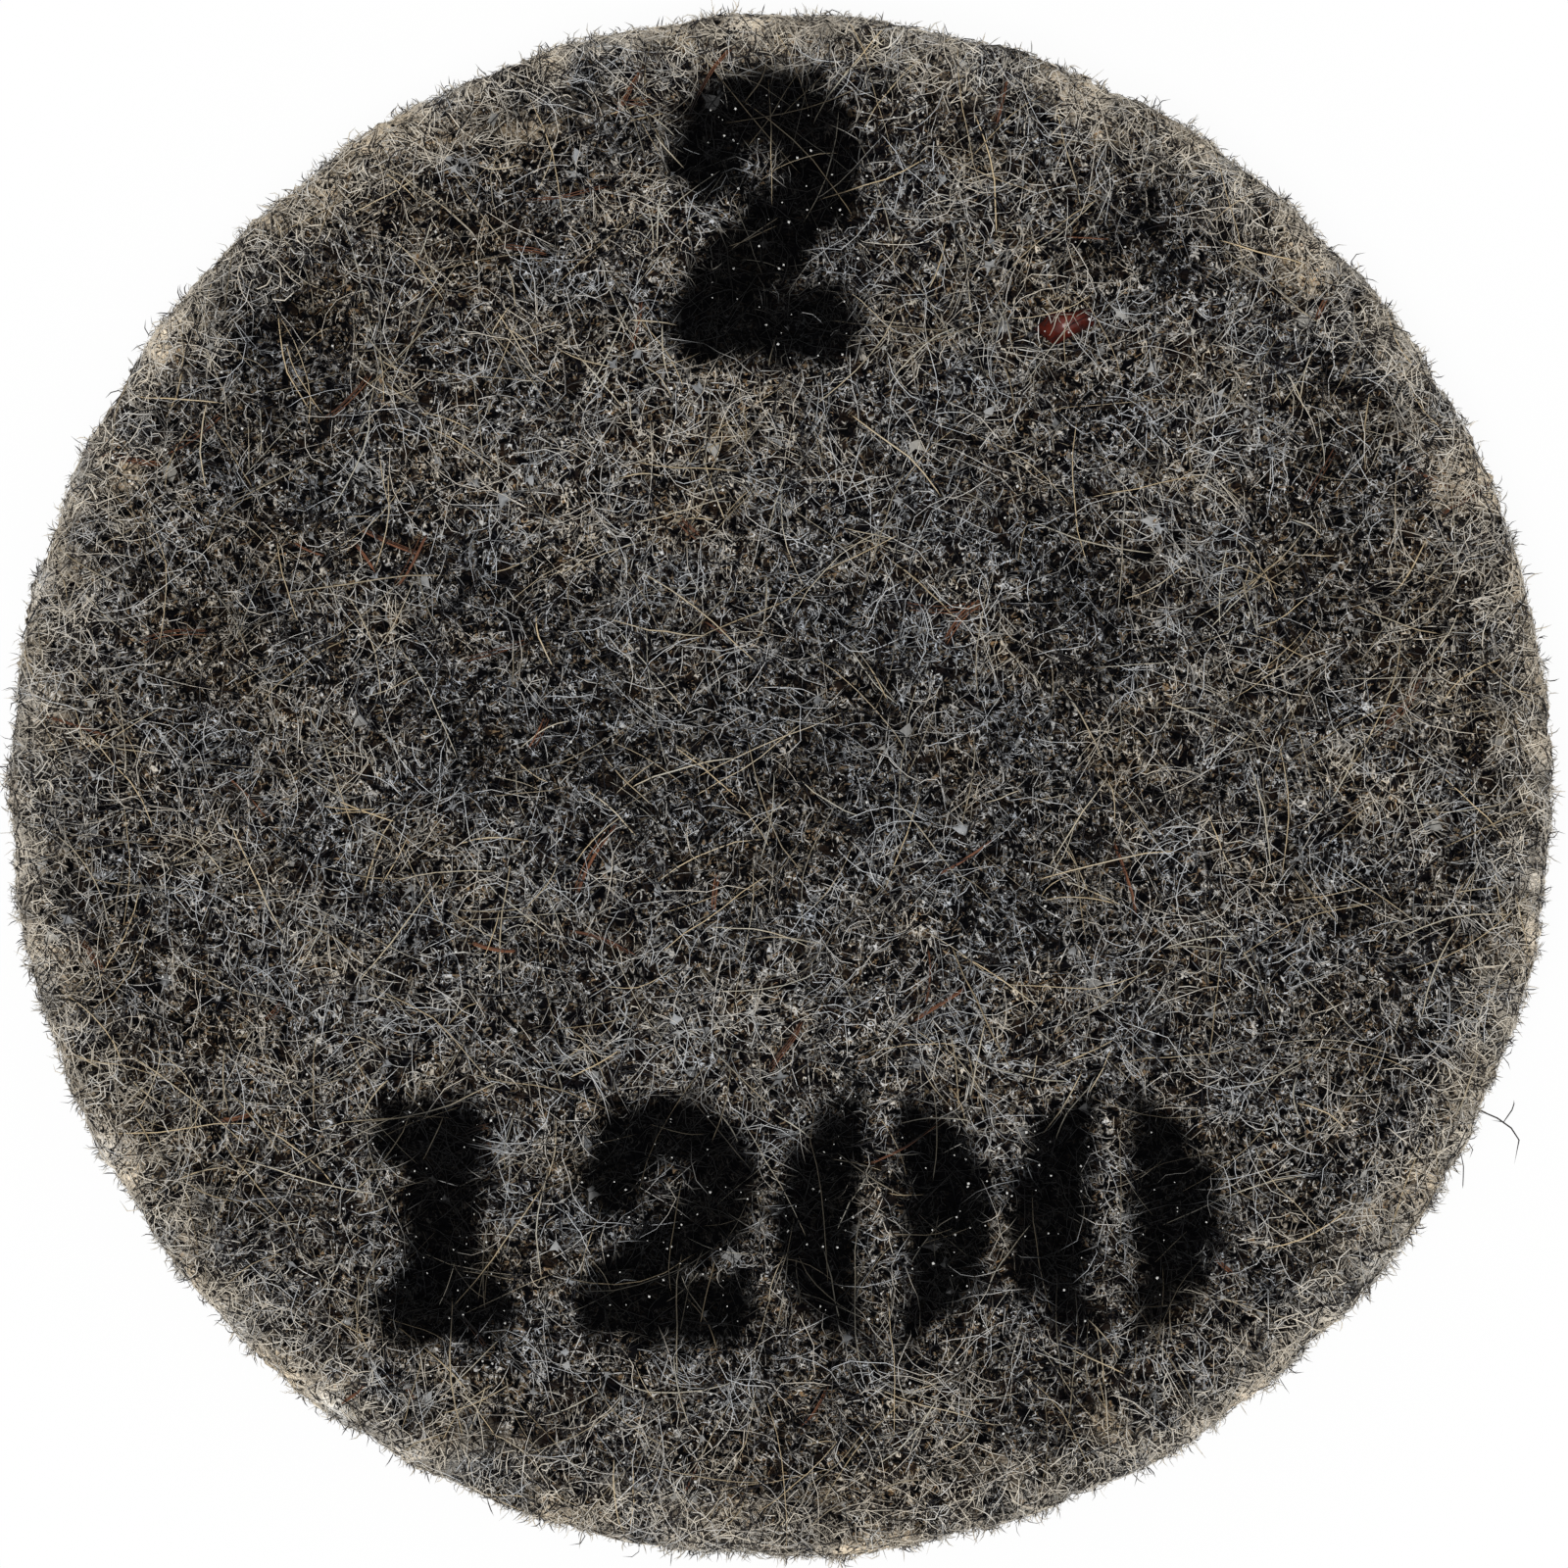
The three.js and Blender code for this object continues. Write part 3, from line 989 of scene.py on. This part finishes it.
def knot_films(rng, corners):
    """Films with one number of corners, and their places, corners and depths."""
    count = KNOTS_OF_A_KIND
    middle = scattered(rng, count, DISC_RADIUS - 1.2, grey_density)
    size = 0.13 + 0.36 * rng.uniform(0, 1, count) ** 2
    turn = each(rng, 0, TURN, count)
    gap = rng.uniform(0.4, 1.6, (count, corners))
    angle = turn + TURN * np.cumsum(gap, axis=1) / gap.sum(axis=1, keepdims=True)
    reach = size[:, None] * rng.uniform(0.4, 1.4, (count, corners))
    depth = each(rng, 0.05, 0.6, count)
    between = angle + (np.roll(angle, -1, axis=1) - angle) % TURN / 2
    hollow = rng.uniform(0.3, 0.85, (count, corners)) * np.minimum(reach, np.roll(reach, -1, axis=1))
    rim = np.empty((count, 2 * corners, 3))
    for part, a, r in ((0, angle, reach), (1, between, hollow)):
        height = face_height(radius_of(middle))[:, None] - depth + rng.normal(0, 0.05, a.shape)
        rim[:, part::2] = raised(middle[:, None] + polar(r, a), height)
    batch = lenses(rim, np.full(count, 0.035))
    warmth = rng.normal(0.3, 0.25, count)[:, None]
    tone = face_tone(batch["places"], 0.4, 1.05, rng)
    return middle, angle, reach, depth, tinted(batch, tone, face_ink(batch["places"], rng, 0.02), warmth)


def knot_arms(rng, middle, angle, reach, depth):
    """The fibres that leave the corners of the films."""
    shape, steps = angle.shape, KNOT_ARM_STEPS
    length = rng.uniform(0.5, 2.2, shape)
    bend = rng.normal(0, 0.9, shape)
    line = np.empty(shape + (steps + 1, 3))
    heading = angle.copy()
    place = middle[:, None] + polar(0.4 * reach, angle)
    for i in range(steps + 1):
        fall = np.abs(rng.normal(0, 0.3, shape)) * (i / steps) ** 2
        line[:, :, i] = raised(place, face_height(radius_of(place)) - depth - fall)
        place = place + polar(length / steps, heading)
        heading = heading + bend / steps
    line = line.reshape(-1, steps + 1, 3)
    line[:, :, :2] = kept_inside(line[:, :, :2], 0)
    batch = random_tubes(rng, line, 0.04, 0.08)
    return tinted(batch, face_tone(batch["places"], 0.5, 1.1, rng), face_ink(batch["places"], rng, 0.02))


def knots():
    """The films and the arms of the resin knots on the working face."""
    rng = seeded(110)
    films, arms = [], []
    for corners in (3, 4, 5):
        *places, film = knot_films(rng, corners)
        films.append(film)
        arms.append(knot_arms(rng, *places))
    mesh_piece("resin_films", films, film_finish, smooth=False)
    mesh_piece("knot_fibres", arms, grey_finish)


knots()


# Other fibres over the working face, and abrasive grains

def dark_fibres():
    """Near-black fibres, and ends of them that crowd the rim."""
    rng = seeded(120)
    curls = face_lines(rng, *FACE_FIBRES["dark_curls"], dark_density)
    ends = face_lines(rng, *FACE_FIBRES["dark_ends"], rim_share)
    batches = [random_tubes(rng, curls, 0.03, 0.075), random_tubes(rng, ends, 0.035, 0.08)]
    batches = [face_tinted(batch, rng, (0, 1), (0, 0.8)) for batch in batches]
    mesh_piece("dark_fibres", batches, dark_finish)


def rim_bits():
    """Short pale and tan ends of fibre that crowd the rim of the working face."""
    rng = seeded(125)
    line = face_lines(rng, *FACE_FIBRES["rim_ends"], rim_share)
    batch = random_tubes(rng, line, 0.035, 0.08)
    places = batch["places"]
    patch = 1 + 0.3 * small_cloud(*plan(places))
    tone = np.clip(each(rng, 0.4, 1.2, len(line)) * patch, 0, 1)
    tinted(batch, tone, face_ink(places, rng), each(rng, 0.1, 1.0, len(line)))
    mesh_piece("rim_fibre_ends", [batch], pale_finish)


def straw_fibres():
    """Long, nearly straight tan fibres, some crossing at one place like straws."""
    rng = seeded(130)
    loose = face_lines(rng, *FACE_FIBRES["straws"], straw_density)
    batches = [tubes(loose, 0.035 + 0.07 * rng.uniform(0, 1, len(loose)) ** 2, taper=0.4)]
    clusters = []
    for middle in scattered(rng, 46, DISC_RADIUS - 2.5, straw_density):
        stalks = curved_lines(rng, 4, 7, (1.8, 4.5), (0.0, 0.6), 0.05)
        stalks += middle + rng.normal(0, 0.5, (4, 1, 2))
        clusters.append(raised(stalks, face_height(radius_of(stalks)) - each(rng, 0, 0.35, 4)))
    batches.append(random_tubes(rng, np.concatenate(clusters), 0.035, 0.09))
    batches = [face_tinted(batch, rng, (0.25, 1.15), (0, 1), 0.1, 0.88) for batch in batches]
    mesh_piece("straw_fibres", batches, straw_finish)


def rust_fibres():
    """A few brown fibres, in small flat bundles of four strands."""
    rng = seeded(140)
    bundles = face_lines(rng, *FACE_FIBRES["rust_bundles"])
    spread = [1, 1, 0.4]
    strands = [bundles + rng.normal(0, 0.08, (len(bundles), 1, 3)) * spread for _ in range(4)]
    batch = random_tubes(rng, np.concatenate(strands), 0.04, 0.1, taper=0.4)
    mesh_piece("rust_fibres", [face_tinted(batch, rng, (0.2, 1), (0, 1))], rust_finish)


def grains():
    """Tiny grains stuck to the fibres, some in the inked figures too, bright as painted glints."""
    rng = seeded(150)
    count, corners = 2400, 4
    middle = scattered(rng, count, DISC_RADIUS - 0.6)
    size = 0.035 + 0.05 * rng.uniform(0, 1, count) ** 2
    angle = each(rng, 0, TURN, count) + TURN * np.arange(corners) / corners
    reach = size[:, None] * rng.uniform(0.6, 1.2, (count, corners))
    height = face_height(radius_of(middle))[:, None] - each(rng, 0.0, 0.5, count)
    rim = raised(middle[:, None] + polar(reach, angle), height)
    mesh_piece("abrasive_grain_glints", [tinted(lenses(rim, size * 0.8), 1.0)], grain_glint_material(), smooth=False)


dark_fibres()
rim_bits()
straw_fibres()
rust_fibres()
grains()


# The cut edge

def tufted_angles(rng, count):
    """Random directions that gather in uneven tufts along the edge."""
    tuft = cloud(51, 1.6)
    angle = rng.uniform(0, TURN, 6 * count)
    share = 0.12 + 0.88 * smooth_step(-0.4, 1.2, tuft(DISC_RADIUS * angle, 0 * angle))
    return angle[rng.uniform(0, 1, len(angle)) < share][:count]


def stubs(rng, count):
    """Tiny stubs of cut fibre that lie every way along the edge."""
    angle = tufted_angles(rng, count)
    x, y = np.cos(angle), np.sin(angle)
    radius = edge_radius(x, y) + rng.uniform(-0.15, 0.2, count)
    flat = curved_lines(rng, count, 2, (0.15, 0.5), (0.0, 2.0), 0.4)
    flat += polar(radius, angle)[:, None]
    crest = face_height(radius)
    at_crest = rng.uniform(0, 1, count) < 0.6
    near_crest = crest - rng.uniform(0, 0.7, count)
    height = np.where(at_crest, near_crest, crest * rng.uniform(0.1, 1, count))
    rise = rng.normal(0, 0.1, count)[:, None] * [-1, 0, 1]
    return raised(flat, height[:, None] + rise)


def bristles():
    """Short cut ends, dark and pale, that stand out all round the edge."""
    rng = seeded(160)
    count, steps = 5600, 3
    angle = tufted_angles(rng, count)
    x, y = np.cos(angle), np.sin(angle)
    height = np.minimum(rng.uniform(0.4, WEB_THICKNESS - 0.1, count), face_height(DISC_RADIUS - 0.45))
    root = edge_radius(x, y) - rng.uniform(-0.05, 0.2, count)
    slant = rng.normal(0, 1.1, count)
    rise = rng.normal(0, 0.35, count)
    curl = rng.normal(0, 0.9, count)
    length = rng.uniform(0.28, 0.76, count) + 0.5 * rng.uniform(0, 1, count) ** 8
    line = np.empty((count, steps + 1, 3))
    for i in range(steps + 1):
        out = length * i / steps
        turned = slant + curl * i / steps
        outward, aside = root + out * np.cos(turned), out * np.sin(turned)
        line[:, i, 0] = x * outward - y * aside
        line[:, i, 1] = y * outward + x * aside
        line[:, i, 2] = np.clip(height + rise * out, 0.15, WEB_THICKNESS)
    dark = rng.uniform(0, 1, count) < 0.38
    kinds = (
        ("dark_edge_ends", line[dark], stubs(rng, 1500), dark_finish),
        ("pale_edge_ends", line[~dark], stubs(rng, 5300), pale_finish),
    )
    for name, out, along, finish in kinds:
        batches = [random_tubes(rng, out, 0.03, 0.075, 0.4), random_tubes(rng, along, 0.035, 0.07)]
        mesh_piece(name, [edge_tinted(batch, rng, (0.4, 1.15)) for batch in batches], finish)


def edge_fibres():
    """The fibres that show in the cut edge."""
    rng = seeded(170)
    kinds = (
        ("pale_edge_fibres", 3400, (0.5, 2.0), (-0.08, 0.12), pale_finish),
        ("dark_edge_fibres", 1500, (0.5, 2.2), (0.02, 0.14), dark_finish),
    )
    for name, count, length, depth, finish in kinds:
        batch = random_tubes(rng, side_lines(rng, count, 3, length, (0.2, 2.4), depth), 0.06, 0.12)
        mesh_piece(name, [edge_tinted(batch, rng, (0.1, 1.1))], finish)


def back_fibres():
    """The fibres of the back face, which grip the pad's hooks."""
    rng = seeded(180)
    kinds = (
        ("pale_back_fibres", 4200, (0.9, 2.8), (0.06, 0.5), grey_finish),
        ("dark_back_fibres", 1500, (0.9, 3.0), (0.04, 0.3), dark_finish),
    )
    for name, count, length, depth, finish in kinds:
        line = back_lines(rng, count, 3, length, (0.2, 2.8), 0.2, depth)
        batch = random_tubes(rng, line, 0.06, 0.12)
        places = batch["places"]
        drift = 1 + 0.2 * small_cloud(places[:, :, 0] + 90, places[:, :, 1])
        tone = np.clip(each(rng, 0.15, 0.95, count) * drift, 0, 1)
        mesh_piece(name, [tinted(batch, tone, warmth=each(rng, 0, 1, count))], finish)


bristles()
edge_fibres()
back_fibres()


# Single features: the brown flake and the hairs that stray from the edge

FLAKE_CENTRE = (13.8, 22.3)
FLAKE_RIM = [
    (-1.5, -0.1), (-0.7, 0.75), (0.3, 0.7), (1.3, 0.95), (1.45, 0.1), (0.5, -0.35), (-0.5, -0.9),
]

STRAY_HAIRS = [
    [(33.4, -15.3, 5.6), (34.2, -15.9, 5.9), (34.9, -16.2, 5.9), (35.6, -16.7, 5.6), (36.0, -17.3, 5.2),
     (35.8, -18.5, 4.6)],
    [(34.6, -16.3, 5.5), (35.2, -16.4, 5.8), (35.4, -16.1, 6.0), (35.6, -15.8, 6.1), (35.7, -15.5, 6.1),
     (35.7, -15.3, 6.0)],
    [(32.7, -17.4, 5.0), (33.2, -18.1, 5.1), (33.3, -18.6, 5.0), (33.3, -19.1, 4.8), (33.3, -19.5, 4.5),
     (33.3, -19.7, 4.3)],
    [(31.8, -18.2, 5.3), (32.3, -18.7, 5.4), (32.4, -19.2, 5.2), (32.2, -19.7, 5.0), (31.8, -20.2, 4.9),
     (31.2, -20.6, 4.8)],
]


def single_features():
    """A thin chip of brown resin in the web, and four hairs that hang out of the edge."""
    rim = raised(np.array(FLAKE_RIM) + FLAKE_CENTRE, WEB_THICKNESS - 0.28)[None, ::-1]
    mesh_piece("brown_flake", [tinted(lenses(rim, np.array([0.07])), 1.0)], flake_material())
    batch = tubes(np.array(STRAY_HAIRS), np.array([0.09, 0.07, 0.06, 0.08]))
    mesh_piece("stray_hairs", [tinted(batch, 0.6)], dark_finish)


single_features()


# The stage: a pale floor, soft light from above and a camera that looks straight down

def pale_floor():
    """A floor that the camera sees as white, with a faint shadow of the disc on it."""
    size = 1.5
    mesh = bpy.data.meshes.new("floor")
    corners = [(-size, -size, 0), (size, -size, 0), (size, size, 0), (-size, size, 0)]
    mesh.from_pydata(corners, [], [(0, 1, 2, 3)])
    material, tree, shader = new_material("floor_white", 0.9, 0.5)
    shader.inputs["Base Color"].default_value = (0.9, 0.9, 0.9, 1)
    glow = node(tree, "ShaderNodeEmission", Color=(1, 1, 1, 1), Strength=1.0)
    path = node(tree, "ShaderNodeLightPath")
    share = maths(tree, "MULTIPLY", path.outputs["Is Camera Ray"], 0.94)
    both = node(tree, "ShaderNodeMixShader", Fac=share)
    tree.links.new(shader.outputs["BSDF"], both.inputs[1])
    tree.links.new(glow.outputs["Emission"], both.inputs[2])
    tree.links.new(both.outputs["Shader"], tree.nodes["Material Output"].inputs["Surface"])
    mesh.materials.append(material)
    floor = placed("floor", mesh)


def studio_light():
    """A soft lamp overhead and a pale surround."""
    world = bpy.data.worlds.new("surround")
    bpy.context.scene.world = world
    world.use_nodes = True
    tree = world.node_tree
    path = node(tree, "ShaderNodeLightPath")
    seen = path.outputs["Is Camera Ray"]
    strength = node(tree, "ShaderNodeMapRange", Value=seen, To_Min=0.55, To_Max=1.0)
    background = tree.nodes["Background"]
    background.inputs["Color"].default_value = (1, 1, 1, 1)
    tree.links.new(strength.outputs["Result"], background.inputs["Strength"])
    lamp = bpy.data.lights.new("soft_lamp", "SUN")
    lamp.energy = 1.8
    lamp.angle = math.radians(25)
    placed("soft_lamp", lamp).rotation_euler = (math.radians(8), math.radians(-5), 0)


def camera():
    """A long lens straight above the disc, with the photograph's up as +Y."""
    data = bpy.data.cameras.new("camera")
    data.sensor_width = SENSOR_WIDTH
    data.lens = SENSOR_WIDTH * VIEW_DISTANCE / VIEW_WIDTH
    data.clip_start, data.clip_end = 0.01, 10
    holder = placed("camera", data)
    holder.location = (VIEW_CENTRE[0] * MM, VIEW_CENTRE[1] * MM, (WEB_THICKNESS + VIEW_DISTANCE) * MM)
    bpy.context.scene.camera = holder


pale_floor()
studio_light()
camera()
bpy.context.scene.view_settings.view_transform = "Standard"
